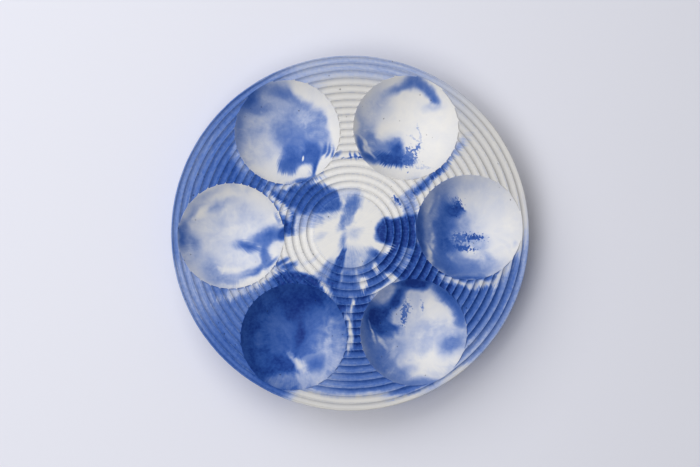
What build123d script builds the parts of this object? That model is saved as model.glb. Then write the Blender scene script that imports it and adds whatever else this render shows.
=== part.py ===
from build123d import *

import os
from math import cos, radians, sin, tan

os.makedirs("parts", exist_ok=True)

# Seder plate: one heavy marbled casting with concentric flutes and a ring of round bowls,
# standing on rubber feet that are stuck under its flat base.
# Sizes are in millimetres and degrees. The origin is the middle of the resting plane,
# +Z is up, and the first bowl lies on +X.

# Bowls: caps of a sphere, side by side in a ring just inside the rim
bowl_count = 6
bowl_mouth_radius = 50.0
bowl_depth = 25.5
bowl_gap = 11.0
bowl_rim_distance = 6.0

# Fluted top: a plain disc in the middle, then scooped rings out to the rim
medallion_radius = 34.0
flute_count = 19
flute_depth = 1.7
crest_width = 0.6

# Body of the casting
floor_thickness = 8.5
side_draft = 16.0
rim_rounding = 1.0
base_rounding = 5.0

# Rubber feet, set in line with the gaps between the bowls
foot_count = 6
foot_radius = 11.0
foot_height = 3.0
foot_draft = 10.0
foot_rounding = 0.8
foot_edge_distance = 24.0

# Radii and levels that follow from the sizes above
bowl_circle_radius = (bowl_mouth_radius + bowl_gap / 2) / sin(radians(180 / bowl_count))
bowl_sphere_radius = (bowl_mouth_radius**2 + bowl_depth**2) / (2 * bowl_depth)
plate_radius = bowl_circle_radius + bowl_mouth_radius + bowl_rim_distance
flute_pitch = (plate_radius - medallion_radius) / flute_count
full_flute_width = flute_pitch - crest_width
rim_corner_angle = 90 - side_draft
rim_width = crest_width / 2 + rim_rounding / tan(radians(rim_corner_angle / 2))
casting_height = floor_thickness + bowl_depth
base_radius = plate_radius - casting_height * tan(radians(side_draft))
base_level = foot_height
top_level = base_level + casting_height
bowl_centre_level = top_level - bowl_depth + bowl_sphere_radius
foot_circle_radius = base_radius - foot_edge_distance
foot_step = 360 / foot_count


def flute_edges(index):
    """Inner and outer radius of one scooped ring, counted from the middle."""
    inner_land = 0.0 if index == 0 else crest_width / 2
    outer_land = rim_width if index == flute_count - 1 else crest_width / 2
    inner_radius = medallion_radius + index * flute_pitch + inner_land
    outer_radius = medallion_radius + (index + 1) * flute_pitch - outer_land
    return inner_radius, outer_radius


# The casting's half section, turned about the plate's axis, then scooped out for the bowls
with BuildPart() as cast_plate:
    with BuildSketch(Plane.XZ) as half_section:
        with BuildLine() as section_outline:
            Polyline((0, top_level), (0, base_level), (base_radius, base_level), (plate_radius, top_level))
            crest = (plate_radius, top_level)
            for index in reversed(range(flute_count)):
                inner_radius, outer_radius = flute_edges(index)
                scoop_depth = flute_depth * (outer_radius - inner_radius) / full_flute_width
                scoop_bottom = ((inner_radius + outer_radius) / 2, top_level - scoop_depth)
                Line(crest, (outer_radius, top_level))
                ThreePointArc((outer_radius, top_level), scoop_bottom, (inner_radius, top_level))
                crest = (inner_radius, top_level)
            Line(crest, (0, top_level))
        make_face()
        rim_corner = half_section.vertices().sort_by(Axis.X)[-1]
        fillet(rim_corner, rim_rounding)
        base_corner = half_section.vertices().group_by(Axis.Y)[0].sort_by(Axis.X)[-1]
        fillet(base_corner, base_rounding)
    revolve(axis=Axis.Z)
    with Locations((0, 0, bowl_centre_level)):
        with PolarLocations(bowl_circle_radius, bowl_count):
            Sphere(bowl_sphere_radius, mode=Mode.SUBTRACT)
cast_plate.part.label = "cast_plate"
export_step(cast_plate.part, "parts/cast_plate.step")

# The feet: short drafted discs with a rounded lower edge, flat against the casting's base
for number in range(1, foot_count + 1):
    foot_angle = radians(number * foot_step - foot_step / 2)
    foot_centre = (foot_circle_radius * cos(foot_angle), foot_circle_radius * sin(foot_angle))
    with BuildPart() as rubber_foot:
        with BuildSketch(Plane.XY.offset(base_level)) as foot_outline:
            with Locations(foot_centre):
                Circle(foot_radius)
        extrude(amount=-foot_height, taper=foot_draft)
        resting_face = rubber_foot.faces().sort_by(Axis.Z)[0]
        fillet(resting_face.edges(), foot_rounding)
    rubber_foot.part.label = f"rubber_foot_{number}"
    export_step(rubber_foot.part, f"parts/rubber_foot_{number}.step")
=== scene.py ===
"""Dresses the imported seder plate: a fluted, marbled casting with six bowls, on rubber feet.

The pieces are in metres. The finishes work in millimetres and degrees on Object
coordinates, because the marbling's clouds and streaks are millimetres across.
"""

import logging
import math
from collections.abc import Iterator
from contextlib import contextmanager
from dataclasses import dataclass, field
from enum import Enum
from itertools import pairwise
from typing import ClassVar

import bpy
from mathutils import Matrix, Vector


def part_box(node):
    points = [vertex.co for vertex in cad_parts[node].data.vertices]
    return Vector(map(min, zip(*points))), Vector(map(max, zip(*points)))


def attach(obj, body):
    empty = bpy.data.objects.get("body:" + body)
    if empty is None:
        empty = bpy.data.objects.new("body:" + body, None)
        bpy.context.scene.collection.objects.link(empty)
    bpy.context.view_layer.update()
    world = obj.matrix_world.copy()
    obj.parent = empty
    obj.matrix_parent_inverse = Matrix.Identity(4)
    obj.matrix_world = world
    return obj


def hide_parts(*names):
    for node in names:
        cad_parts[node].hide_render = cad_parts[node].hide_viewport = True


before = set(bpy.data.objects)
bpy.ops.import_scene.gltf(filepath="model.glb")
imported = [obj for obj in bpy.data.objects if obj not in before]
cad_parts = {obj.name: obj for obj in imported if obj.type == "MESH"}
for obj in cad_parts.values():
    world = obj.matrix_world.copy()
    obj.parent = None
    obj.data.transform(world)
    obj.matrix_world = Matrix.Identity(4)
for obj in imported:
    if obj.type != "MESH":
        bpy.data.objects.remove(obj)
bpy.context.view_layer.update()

LOG = logging.getLogger("seder_plate")
MM = 0.001
BODY = "root"

Socket = bpy.types.NodeSocket
Sockets = bpy.types.NodeOutputs
Feed = bpy.types.NodeSocket | float | tuple[float, ...]
Feeds = dict[str | int, Feed]
Usual = float | tuple[float, ...]
Colour = tuple[float, float, float, float]
Point = tuple[float, float]


def srgb(red: int, green: int, blue: int) -> Colour:
    """Turns a colour as seen on a screen, 0 to 255, into the linear values that a shader takes.

    Args:
        red: Red on the screen.
        green: Green on the screen.
        blue: Blue on the screen.

    Returns:
        The linear colour, opaque.
    """
    shares = (value / 255 for value in (red, green, blue))
    linear = (s / 12.92 if s <= 0.04045 else ((s + 0.055) / 1.055) ** 2.4 for s in shares)
    return (*linear, 1.0)


def deselect_all() -> None:
    """Leaves no object selected."""
    bpy.ops.object.select_all(action="DESELECT")


def make_active(piece: bpy.types.Object) -> None:
    """Selects one object alone and makes it the active one."""
    deselect_all()
    piece.select_set(True)
    bpy.context.view_layer.objects.active = piece


@contextmanager
def edit_mode(piece: bpy.types.Object) -> Iterator[None]:
    """Opens a piece in edit mode with its whole mesh selected, and closes it again.

    Args:
        piece: The mesh object to edit.

    Returns:
        A context in which the piece is open.
    """
    make_active(piece)
    bpy.ops.object.mode_set(mode="EDIT")
    bpy.ops.mesh.select_all(action="SELECT")
    yield
    bpy.ops.object.mode_set(mode="OBJECT")


def apply_modifier(piece: bpy.types.Object, modifier: bpy.types.Modifier) -> None:
    """Makes a modifier's result the piece's own mesh."""
    make_active(piece)
    bpy.ops.object.modifier_apply(modifier=modifier.name)


def arc(middle: Point, radius: float, start: float, end: float, steps: int) -> list[Point]:
    """Points along an arc of a half section.

    Args:
        middle: The arc's centre, as distance from the axis and height.
        radius: The arc's radius.
        start: The first angle, in radians from straight up towards the outside.
        end: The last angle.
        steps: How many straight steps stand for the arc.

    Returns:
        The points, both ends included.
    """
    angles = (start + (end - start) * step / steps for step in range(steps + 1))
    return [(middle[0] + radius * math.sin(a), middle[1] + radius * math.cos(a)) for a in angles]


def straight(start: Point, end: Point, steps: int) -> list[Point]:
    """Points along a straight run of a half section, without its two ends."""
    shares = (step / steps for step in range(1, steps))
    return [(start[0] + (end[0] - start[0]) * s, start[1] + (end[1] - start[1]) * s) for s in shares]


def turned_solid(name: str, section: list[Point], steps: int) -> bpy.types.Object:
    """Draws a half section point by point and turns it about the Z axis, as on a lathe.

    Args:
        name: The new object's name.
        section: The half section from the axis round to the axis, as radius and height.
        steps: How many steps make the full turn.

    Returns:
        A closed mesh object at the origin.
    """
    deselect_all()
    bpy.ops.mesh.primitive_plane_add(size=MM)
    piece = bpy.context.object
    piece.name = piece.data.name = name
    path = [Vector((radius, 0.0, height)) for radius, height in section]
    with edit_mode(piece):
        bpy.ops.mesh.merge(type="CENTER")
        bpy.ops.transform.translate(value=path[0])
        for here, there in pairwise(path):
            bpy.ops.mesh.extrude_region_move(TRANSFORM_OT_translate={"value": there - here})
    turn = piece.modifiers.new("turn", "SCREW")
    turn.axis = "Z"
    turn.angle = math.tau
    turn.steps = turn.render_steps = steps
    turn.use_merge_vertices = True
    turn.merge_threshold = MM * MM
    apply_modifier(piece, turn)
    close_up(piece)
    return piece


def close_up(piece: bpy.types.Object) -> None:
    """Merges a turned mesh's seam and poles, and points its faces outwards."""
    with edit_mode(piece):
        bpy.ops.mesh.remove_doubles(threshold=MM * MM)
        bpy.ops.mesh.normals_make_consistent(inside=False)


def copy_of(piece: bpy.types.Object, name: str, move: Matrix) -> bpy.types.Object:
    """Copies a piece with a mesh of its own, moved within that mesh.

    Args:
        piece: The object to copy.
        name: The copy's name.
        move: Where the copy's mesh goes, from the piece's own place.

    Returns:
        The new object, at the origin.
    """
    twin = piece.copy()
    twin.data = piece.data.copy()
    twin.name = twin.data.name = name
    twin.data.transform(move)
    bpy.context.scene.collection.objects.link(twin)
    return twin


def shade_by_angle(piece: bpy.types.Object, angle: float) -> None:
    """Shades a piece smooth, with edges sharper than the angle kept crisp."""
    make_active(piece)
    bpy.ops.object.shade_smooth_by_angle(angle=angle)


def dress(piece: bpy.types.Object, finish: bpy.types.Material, node: str) -> None:
    """Gives a piece its finish and ties it to the CAD node that it stands for.

    Args:
        piece: The finished mesh object.
        finish: Its material.
        node: The CAD node that it replaces.
    """
    piece.data.materials.clear()
    piece.data.materials.append(finish)
    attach(piece, BODY)
    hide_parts(node)
    LOG.info("%s: %d faces, stands for %s", piece.name, len(piece.data.polygons), node)


class SolidChange(Enum):
    """What a tool does to the casting."""

    ADD = "UNION"
    TAKE_AWAY = "DIFFERENCE"


@dataclass
class CastPlate:
    """The one heavy casting: a fluted top with a plain disc in the middle and six bowls.

    Attributes:
        outer_radius: Radius over the rounded rim.
        base: Level of the flat underside.
        top: Level of the flutes' crests.
    """

    outer_radius: float
    base: float
    top: float
    medallion_radius: float = 34.0 * MM
    flute_count: int = 19
    flute_depth: float = 2.2 * MM
    crest_width: float = 0.6 * MM
    side_draft: float = math.radians(16.0)
    rim_rounding: float = 1.0 * MM
    base_rounding: float = 5.0 * MM
    bowl_count: int = 6
    bowl_circle_radius: float = 111.0 * MM
    bowl_mouth_radius: float = 50.0 * MM
    bowl_depth: float = 25.5 * MM
    turn_steps: int = 360
    scoop_steps: int = 9
    crest_steps: int = 4
    rounding_steps: int = 8
    disc_rings: tuple[float, ...] = (0.0, 0.3, 0.6, 0.85)
    bowl_segments: int = 144
    bowl_rings: int = 96
    cutter_overshoot: float = 2.0 * MM
    lip_radius: float = 1.3 * MM
    lip_drop: float = 0.8 * MM
    lip_segments: int = 16
    unevenness: float = 0.3 * MM
    unevenness_width: float = 9.0 * MM
    crisp_angle: float = math.radians(32.0)

    @classmethod
    def from_frame(cls) -> "CastPlate":
        """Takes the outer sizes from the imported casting."""
        low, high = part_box("cast_plate")
        return cls(outer_radius=high.x, base=low.z, top=high.z)

    @property
    def rim_middle(self) -> float:
        """Radius at which the rim starts to round over."""
        return self.outer_radius - self.rim_rounding

    @property
    def sharp_radius(self) -> float:
        """Radius that the rim would have with no rounding."""
        corner = math.pi / 2 - self.side_draft
        return self.rim_middle + self.rim_rounding / math.tan(corner / 2)

    @property
    def flute_pitch(self) -> float:
        """Distance from one crest to the next."""
        return (self.sharp_radius - self.medallion_radius) / self.flute_count

    def flute_rings(self) -> dict[str, float]:
        """Gives the flutes' Start and Pitch in millimetres, as the groups of the finish take them."""
        return {"Start": self.medallion_radius / MM, "Pitch": self.flute_pitch / MM}

    @property
    def bowl_radius(self) -> float:
        """Radius of the sphere that each bowl is a cap of."""
        return (self.bowl_mouth_radius**2 + self.bowl_depth**2) / (2 * self.bowl_depth)

    @property
    def bowl_level(self) -> float:
        """Level of that sphere's centre."""
        return self.top - self.bowl_depth + self.bowl_radius

    def fluted_top(self) -> list[Point]:
        """Draws the top from the axis out to where the rim rounds over.

        Returns:
            The disc, then each scoop and the small round crest after it.
        """
        half_crest = self.crest_width / 2
        slope = 2 * math.atan(2 * self.flute_depth / self.flute_pitch)
        crest_radius = half_crest / math.sin(slope)
        crest_level = self.top - crest_radius
        edge_level = crest_level + crest_radius * math.cos(slope)
        points = [(share * self.medallion_radius, self.top) for share in self.disc_rings]
        points += arc((self.medallion_radius, crest_level), crest_radius, 0, slope, self.crest_steps)
        for number in range(1, self.flute_count + 1):
            is_last = number == self.flute_count
            crest = self.rim_middle if is_last else self.medallion_radius + number * self.flute_pitch
            inner = points[-1][0]
            scoop_radius = (crest - half_crest - inner) / 2 / math.sin(slope)
            scoop_middle = ((crest - half_crest + inner) / 2, edge_level + scoop_radius * math.cos(slope))
            scoop = arc(scoop_middle, scoop_radius, math.pi + slope, math.pi - slope, self.scoop_steps)
            points += scoop[1:-1]
            crest_end = 0.0 if is_last else slope
            points += arc((crest, crest_level), crest_radius, -slope, crest_end, self.crest_steps)
        return points

    def half_section(self) -> list[Point]:
        """Draws the whole half section: the top, the rounded rim, the tapered side and the base.

        Returns:
            Points from the axis at the top to the axis at the base.
        """
        wall = math.pi / 2 + self.side_draft
        rim_centre = (self.rim_middle, self.top - self.rim_rounding)
        rim = arc(rim_centre, self.rim_rounding, 0, wall, self.rounding_steps)
        corner_level = self.base + self.base_rounding
        wall_radius = self.sharp_radius - (self.top - corner_level) * math.tan(self.side_draft)
        corner_radius = wall_radius - self.base_rounding / math.cos(self.side_draft)
        corner = arc((corner_radius, corner_level), self.base_rounding, wall, math.pi, self.rounding_steps)
        side = straight(rim[-1], corner[0], self.rounding_steps)
        underside = straight(corner[-1], (0.0, self.base), self.crest_steps)
        return [*self.fluted_top(), *rim[1:], *side, *corner, *underside, (0.0, self.base)]

    def bowl_cutters(self) -> bpy.types.Object:
        """Models the ball that scoops one bowl, cut off just above the top, and copies it round the ring.

        Returns:
            All the cutters as one object.
        """
        deselect_all()
        bpy.ops.mesh.primitive_uv_sphere_add(
            segments=self.bowl_segments, ring_count=self.bowl_rings, radius=self.bowl_radius
        )
        ball = bpy.context.object
        with edit_mode(ball):
            bpy.ops.transform.translate(value=(self.bowl_circle_radius, 0.0, self.bowl_level))
            bpy.ops.mesh.bisect(
                plane_co=(0.0, 0.0, self.top + self.cutter_overshoot),
                plane_no=(0.0, 0.0, 1.0),
                use_fill=True,
                clear_outer=True,
            )
        return self.repeated(ball)

    def bowl_lips(self) -> bpy.types.Object:
        """Models the soft lip in which the flutes end at one bowl, and copies it round the ring.

        Returns:
            All the lips as one object.
        """
        level = self.top - self.lip_drop - self.lip_radius
        mouth = math.sqrt(self.bowl_radius**2 - (self.bowl_level - level) ** 2)
        deselect_all()
        bpy.ops.mesh.primitive_torus_add(
            major_radius=mouth,
            minor_radius=self.lip_radius,
            major_segments=self.bowl_segments,
            minor_segments=self.lip_segments,
        )
        lip = bpy.context.object
        with edit_mode(lip):
            bpy.ops.transform.translate(value=(self.bowl_circle_radius, 0.0, level))
        return self.repeated(lip)

    def repeated(self, pattern: bpy.types.Object) -> bpy.types.Object:
        """Copies a tool for one bowl to the others.

        Args:
            pattern: The tool at the first bowl.

        Returns:
            The tools of all bowls as one object.
        """
        step = math.tau / self.bowl_count
        turns = [Matrix.Rotation(step * number, 4, "Z") for number in range(1, self.bowl_count)]
        copies = [copy_of(pattern, "bowl_tool", turn) for turn in turns]
        make_active(pattern)
        for twin in copies:
            twin.select_set(True)
        bpy.ops.object.join()
        return pattern

    def combine(self, plate: bpy.types.Object, tool: bpy.types.Object, kind: SolidChange) -> None:
        """Adds a tool's solid to the casting or takes it away, and removes the tool.

        Args:
            plate: The casting.
            tool: The other solid.
            kind: Whether it is added or taken away.
        """
        change = plate.modifiers.new("change", "BOOLEAN")
        change.operation = kind.value
        change.solver = "EXACT"
        change.object = tool
        apply_modifier(plate, change)
        bpy.data.objects.remove(tool)

    def unsettle(self, plate: bpy.types.Object) -> None:
        """Makes the turned flutes waver a little, as those of a hand-made master do.

        Args:
            plate: The turned casting, before its bowls are scooped.
        """
        clouds = bpy.data.textures.new("unevenness", "CLOUDS")
        clouds.noise_scale = self.unevenness_width
        waver = plate.modifiers.new("waver", "DISPLACE")
        waver.texture = clouds
        waver.texture_coords = "LOCAL"
        waver.strength = self.unevenness
        waver.mid_level = 0.5
        apply_modifier(plate, waver)

    def build(self) -> bpy.types.Object:
        """Turns the section and scoops out the bowls.

        Returns:
            The casting's mesh object.
        """
        plate = turned_solid("marbled_casting", self.half_section(), self.turn_steps)
        self.unsettle(plate)
        self.combine(plate, self.bowl_lips(), SolidChange.ADD)
        self.combine(plate, self.bowl_cutters(), SolidChange.TAKE_AWAY)
        shade_by_angle(plate, self.crisp_angle)
        return plate


@dataclass
class RubberFeet:
    """The stick-on feet: drafted discs with a rounded lower edge and a shallow moulded dish."""

    draft: float = math.radians(10.0)
    edge_rounding: float = 0.8 * MM
    dish_radius: float = 5.5 * MM
    dish_depth: float = 0.35 * MM
    dish_slope: float = 0.5 * MM
    turn_steps: int = 64
    rounding_steps: int = 6
    crisp_angle: float = math.radians(40.0)
    nodes: list[str] = field(default_factory=list)

    @classmethod
    def from_frame(cls) -> "RubberFeet":
        """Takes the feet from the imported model's nodes."""
        return cls(nodes=sorted(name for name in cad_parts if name.startswith("rubber_foot_")))

    def half_section(self, radius: float, height: float) -> list[Point]:
        """Draws one foot about its own axis, standing on level 0.

        Args:
            radius: Radius of the face that is stuck to the casting.
            height: Height of the foot.

        Returns:
            Points from the axis at the stuck face to the axis at the dish.
        """
        wall = math.pi / 2 + self.draft
        wall_radius = radius - (height - self.edge_rounding) * math.tan(self.draft)
        edge_radius = wall_radius - self.edge_rounding / math.cos(self.draft)
        edge_centre = (edge_radius, self.edge_rounding)
        edge = arc(edge_centre, self.edge_rounding, wall, math.pi, self.rounding_steps)
        stuck_face = straight((0.0, height), (radius, height), self.rounding_steps)
        side = straight((radius, height), edge[0], self.rounding_steps)
        dish = [
            (self.dish_radius + self.dish_slope, 0.0),
            (self.dish_radius + self.dish_slope / 2, self.dish_depth / 2),
            (self.dish_radius, self.dish_depth),
            (self.dish_radius / 2, self.dish_depth),
            (0.0, self.dish_depth),
        ]
        return [(0.0, height), *stuck_face, (radius, height), *side, *edge, *dish]

    def build(self) -> dict[str, bpy.types.Object]:
        """Models one foot and copies it to every place that the frame gives.

        Returns:
            Each foot's mesh object by the CAD node that it stands for.
        """
        low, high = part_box(self.nodes[0])
        section = self.half_section((high.x - low.x) / 2, high.z - low.z)
        pattern = turned_solid("foot", section, self.turn_steps)
        shade_by_angle(pattern, self.crisp_angle)
        feet = {}
        for number, node in enumerate(self.nodes, start=1):
            low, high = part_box(node)
            place = Vector(((low.x + high.x) / 2, (low.y + high.y) / 2, low.z))
            feet[node] = copy_of(pattern, f"foot_{number}", Matrix.Translation(place))
        bpy.data.objects.remove(pattern)
        return feet


class Wiring:
    """Adds nodes to one node tree and joins their sockets."""

    def __init__(self, tree: bpy.types.NodeTree) -> None:
        """Works on the given tree."""
        self.tree = tree

    def feed(self, target: Socket, value: Feed) -> None:
        """Links a socket to another, or sets its plain value."""
        if isinstance(value, bpy.types.NodeSocket):
            self.tree.links.new(value, target)
        else:
            target.default_value = value

    def add(self, kind: str, feeds: Feeds | None = None, **settings: object) -> bpy.types.Node:
        """Adds one node.

        Args:
            kind: Blender's name of the node type.
            feeds: What goes into its inputs, by name or place.
            settings: Its other properties.

        Returns:
            The new node.
        """
        node = self.tree.nodes.new(kind)
        for name, value in settings.items():
            setattr(node, name, value)
        for name, value in (feeds or {}).items():
            self.feed(node.inputs[name], value)
        return node

    def use(self, group: bpy.types.NodeTree, feeds: Feeds) -> bpy.types.Node:
        """Places a node group with its own values."""
        return self.add("ShaderNodeGroup", feeds, node_tree=group)

    def math(self, operation: str, *values: Feed) -> Socket:
        """Works out one number from others."""
        return self.add("ShaderNodeMath", dict(enumerate(values)), operation=operation).outputs[0]

    def vector(self, operation: str, *values: Feed) -> Socket:
        """Works out one vector from others."""
        node = self.add("ShaderNodeVectorMath", dict(enumerate(values)), operation=operation)
        return node.outputs["Vector"]

    def measure(self, operation: str, *values: Feed) -> Socket:
        """Works out one number from vectors, such as a length."""
        node = self.add("ShaderNodeVectorMath", dict(enumerate(values)), operation=operation)
        return node.outputs["Value"]

    def scaled(self, vector: Feed, factor: Feed) -> Socket:
        """Stretches a vector by a number."""
        node = self.add("ShaderNodeVectorMath", {0: vector, "Scale": factor}, operation="SCALE")
        return node.outputs["Vector"]

    def centred(self, value: Feed, reach: float = 1.0) -> Socket:
        """Moves a number from between 0 and 1 to between minus and plus the reach."""
        return self.math("MULTIPLY_ADD", value, 2 * reach, -reach)

    def axes(self, vector: Feed) -> Sockets:
        """Takes a vector apart into X, Y and Z."""
        return self.add("ShaderNodeSeparateXYZ", {0: vector}).outputs

    def compass(self, vector: Feed) -> Socket:
        """Works out the angle of a vector about the Z axis, from +X in radians."""
        axes = self.axes(vector)
        return self.math("ARCTAN2", axes["Y"], axes["X"])

    def degrees_apart(self, vector: Feed, angle: Feed) -> Socket:
        """Works out how far a vector lies from an angle about the Z axis, in degrees to either side."""
        offset = self.math("SUBTRACT", self.math("DEGREES", self.compass(vector)), angle)
        return self.math("ABSOLUTE", self.math("WRAP", offset, 180.0, -180.0))

    def half_way(self, share: Feed) -> Socket:
        """Gives 0 where a share is 0 or 1, and the most half way between."""
        return self.math("MULTIPLY", share, self.math("SUBTRACT", 1.0, share))

    def dimmed(self, colour: Feed, share: Feed) -> Socket:
        """Keeps a share of a colour's brightness."""
        return self.add("ShaderNodeHueSaturation", {"Value": share, "Color": colour}).outputs[0]

    def ease(self, value: Feed, start: Feed, end: Feed, low: Feed = 0.0, high: Feed = 1.0) -> Socket:
        """Goes smoothly from low to high as the value goes from start to end."""
        feeds = {"Value": value, "From Min": start, "From Max": end, "To Min": low, "To Max": high}
        return self.add("ShaderNodeMapRange", feeds, interpolation_type="SMOOTHSTEP").outputs[0]

    def between(self, share: Feed, under: Feed, over: Feed) -> Socket:
        """Mixes two numbers."""
        return self.add("ShaderNodeMix", {0: share, 2: under, 3: over}, data_type="FLOAT").outputs[0]

    def tone(self, share: Feed, under: Feed, over: Feed) -> Socket:
        """Mixes two colours."""
        return self.add("ShaderNodeMix", {0: share, 6: under, 7: over}, data_type="RGBA").outputs[2]

    def noise(
        self, place: Feed, detail: float = 2.0, roughness: float = 0.5, flat: bool = False
    ) -> bpy.types.Node:
        """Adds soft noise with features about one unit across."""
        feeds = {"Vector": place, "Scale": 1.0, "Detail": detail, "Roughness": roughness}
        return self.add("ShaderNodeTexNoise", feeds, noise_dimensions="2D" if flat else "3D")


class SocketKind(Enum):
    """The kinds of socket that the effect groups have."""

    NUMBER = "NodeSocketFloat"
    VECTOR = "NodeSocketVector"


class Effect:
    """A shader node group in the making, with named inputs and outputs."""

    def __init__(self, name: str, takes: dict[str, Usual], gives: dict[str, SocketKind]) -> None:
        """Makes the group and its sockets.

        Args:
            name: The group's name.
            takes: Each input's name and usual value.
            gives: Each output's name and kind.
        """
        self.tree = bpy.data.node_groups.new(name, "ShaderNodeTree")
        for label, usual in takes.items():
            kind = SocketKind.VECTOR if isinstance(usual, tuple) else SocketKind.NUMBER
            socket = self.tree.interface.new_socket(label, in_out="INPUT", socket_type=kind.value)
            socket.default_value = usual
        for label, kind in gives.items():
            self.tree.interface.new_socket(label, in_out="OUTPUT", socket_type=kind.value)
        self.wiring = Wiring(self.tree)
        self.inputs = self.wiring.add("NodeGroupInput").outputs

    def give(self, **results: Socket) -> bpy.types.NodeTree:
        """Joins the results to the outputs, whose names have spaces for underscores.

        Args:
            results: What goes to each output.

        Returns:
            The finished group.
        """
        feeds = {name.replace("_", " "): value for name, value in results.items()}
        self.wiring.add("NodeGroupOutput", feeds)
        return self.tree


NOWHERE = (0.0, 0.0, 0.0)
SEEN_FROM_ABOVE = (1.0, 1.0, 0.0)
# How far pigment below pushes a new pour aside, in millimetres. It also makes each pour
# wait for the one below it, without which a renderer holds too many values at once.
PIGMENT_PUSH = (0.5, 0.4, 0.0)


def drift_effect() -> bpy.types.NodeTree:
    """Makes the group that carries a place about, as a wet pour drifts.

    Returns:
        A group from Place, Size of the swirls and Reach to a moved Place.
    """
    effect = Effect("Drift", {"Place": NOWHERE, "Size": 20.0, "Reach": 3.0}, {"Place": SocketKind.VECTOR})
    wiring, given = effect.wiring, effect.inputs
    probe = wiring.scaled(given["Place"], wiring.math("DIVIDE", 1.0, given["Size"]))
    swirl = wiring.noise(probe, detail=1.5, flat=True).outputs[1]
    centred = wiring.vector("MULTIPLY_ADD", swirl, (4.0, 4.0, 0.0), (-2.0, -2.0, 0.0))
    return effect.give(Place=wiring.vector("ADD", given["Place"], wiring.scaled(centred, given["Reach"])))


def comb_effect() -> bpy.types.NodeTree:
    """Makes the group that draws a place in and out along spokes, as a comb drags wet pigment.

    Returns:
        A group from Place and its Spoke from a centre to a moved Place and the streaks' own Value.
    """
    takes = {"Place": NOWHERE, "Spoke": (1.0, 0.0, 0.0), "Fineness": 30.0, "Length": 20.0, "Reach": 5.0}
    effect = Effect("Comb", takes, {"Place": SocketKind.VECTOR, "Streak": SocketKind.NUMBER})
    wiring, given = effect.wiring, effect.inputs
    along = wiring.vector("NORMALIZE", given["Spoke"])
    distance = wiring.measure("LENGTH", given["Spoke"])
    lengths = wiring.math("DIVIDE", distance, given["Length"])
    rise = wiring.add("ShaderNodeCombineXYZ", {"Z": lengths}).outputs[0]
    probe = wiring.vector("ADD", wiring.scaled(along, given["Fineness"]), rise)
    streak = wiring.noise(probe, detail=2.0, roughness=0.6).outputs[0]
    shift = wiring.math("MULTIPLY", wiring.centred(streak, 2.0), given["Reach"])
    moved = wiring.vector("ADD", given["Place"], wiring.scaled(along, shift))
    return effect.give(Place=moved, Streak=streak)


def pour_effect() -> bpy.types.NodeTree:
    """Makes the group that lays one oval patch of pigment over the tint below it.

    Returns:
        A group from the Tint below, a Place and the patch's sizes to the new Tint.
    """
    takes = {
        "Tint": 0.0,
        "Place": NOWHERE,
        "Middle": NOWHERE,
        "Turn": NOWHERE,
        "Size": (10.0, 10.0, 1.0),
        "Wisp": 0.0,
        "Ragged": 0.0,
        "Fades From": 0.7,
        "Fades To": 1.3,
        "New Tint": 1.0,
        "Cover": 1.0,
    }
    effect = Effect("Pour", takes, {"Tint": SocketKind.NUMBER})
    wiring, given = effect.wiring, effect.inputs
    pushed = wiring.vector("MULTIPLY_ADD", given["Tint"], PIGMENT_PUSH, given["Middle"])
    feeds = {
        "Vector": given["Place"],
        "Location": pushed,
        "Rotation": given["Turn"],
        "Scale": given["Size"],
    }
    within = wiring.add("ShaderNodeMapping", feeds, vector_type="TEXTURE").outputs[0]
    distance = wiring.math("MULTIPLY_ADD", given["Wisp"], given["Ragged"], wiring.measure("LENGTH", within))
    share = wiring.ease(distance, given["Fades To"], given["Fades From"], 0.0, given["Cover"])
    return effect.give(Tint=wiring.between(share, given["Tint"], given["New Tint"]))


def ring_pour_effect() -> bpy.types.NodeTree:
    """Makes the group that lays a patch between two radii and two angles about the plate's axis.

    Returns:
        A group from the Tint below, a Place and the patch's bounds to the new Tint.
    """
    takes = {
        "Tint": 0.0,
        "Place": NOWHERE,
        "Middle Angle": 0.0,
        "Half Angle": 30.0,
        "Soft Angle": 3.0,
        "Inner": 50.0,
        "Outer": 100.0,
        "Soft": 4.0,
        "Wisp": 0.0,
        "Ragged": 0.0,
        "New Tint": 1.0,
        "Cover": 1.0,
    }
    effect = Effect("Ring Pour", takes, {"Tint": SocketKind.NUMBER})
    wiring, given = effect.wiring, effect.inputs
    place = wiring.vector("MULTIPLY_ADD", given["Tint"], PIGMENT_PUSH, given["Place"])
    apart = wiring.degrees_apart(place, given["Middle Angle"])
    frayed = wiring.math("MULTIPLY", given["Wisp"], given["Ragged"])
    over_angle = wiring.math("SUBTRACT", apart, given["Half Angle"])
    angle_fade = wiring.math("ADD", wiring.math("DIVIDE", over_angle, given["Soft Angle"]), frayed)
    radius = wiring.measure("LENGTH", place)
    inwards = wiring.math("SUBTRACT", given["Inner"], radius)
    outwards = wiring.math("SUBTRACT", radius, given["Outer"])
    over_radius = wiring.math("MAXIMUM", inwards, outwards)
    radius_fade = wiring.math("ADD", wiring.math("DIVIDE", over_radius, given["Soft"]), frayed)
    by_angle = wiring.ease(angle_fade, 1.0, -1.0)
    by_radius = wiring.ease(radius_fade, 1.0, -1.0)
    share = wiring.math("MULTIPLY", wiring.math("MULTIPLY", by_angle, by_radius), given["Cover"])
    return effect.give(Tint=wiring.between(share, given["Tint"], given["New Tint"]))


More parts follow.
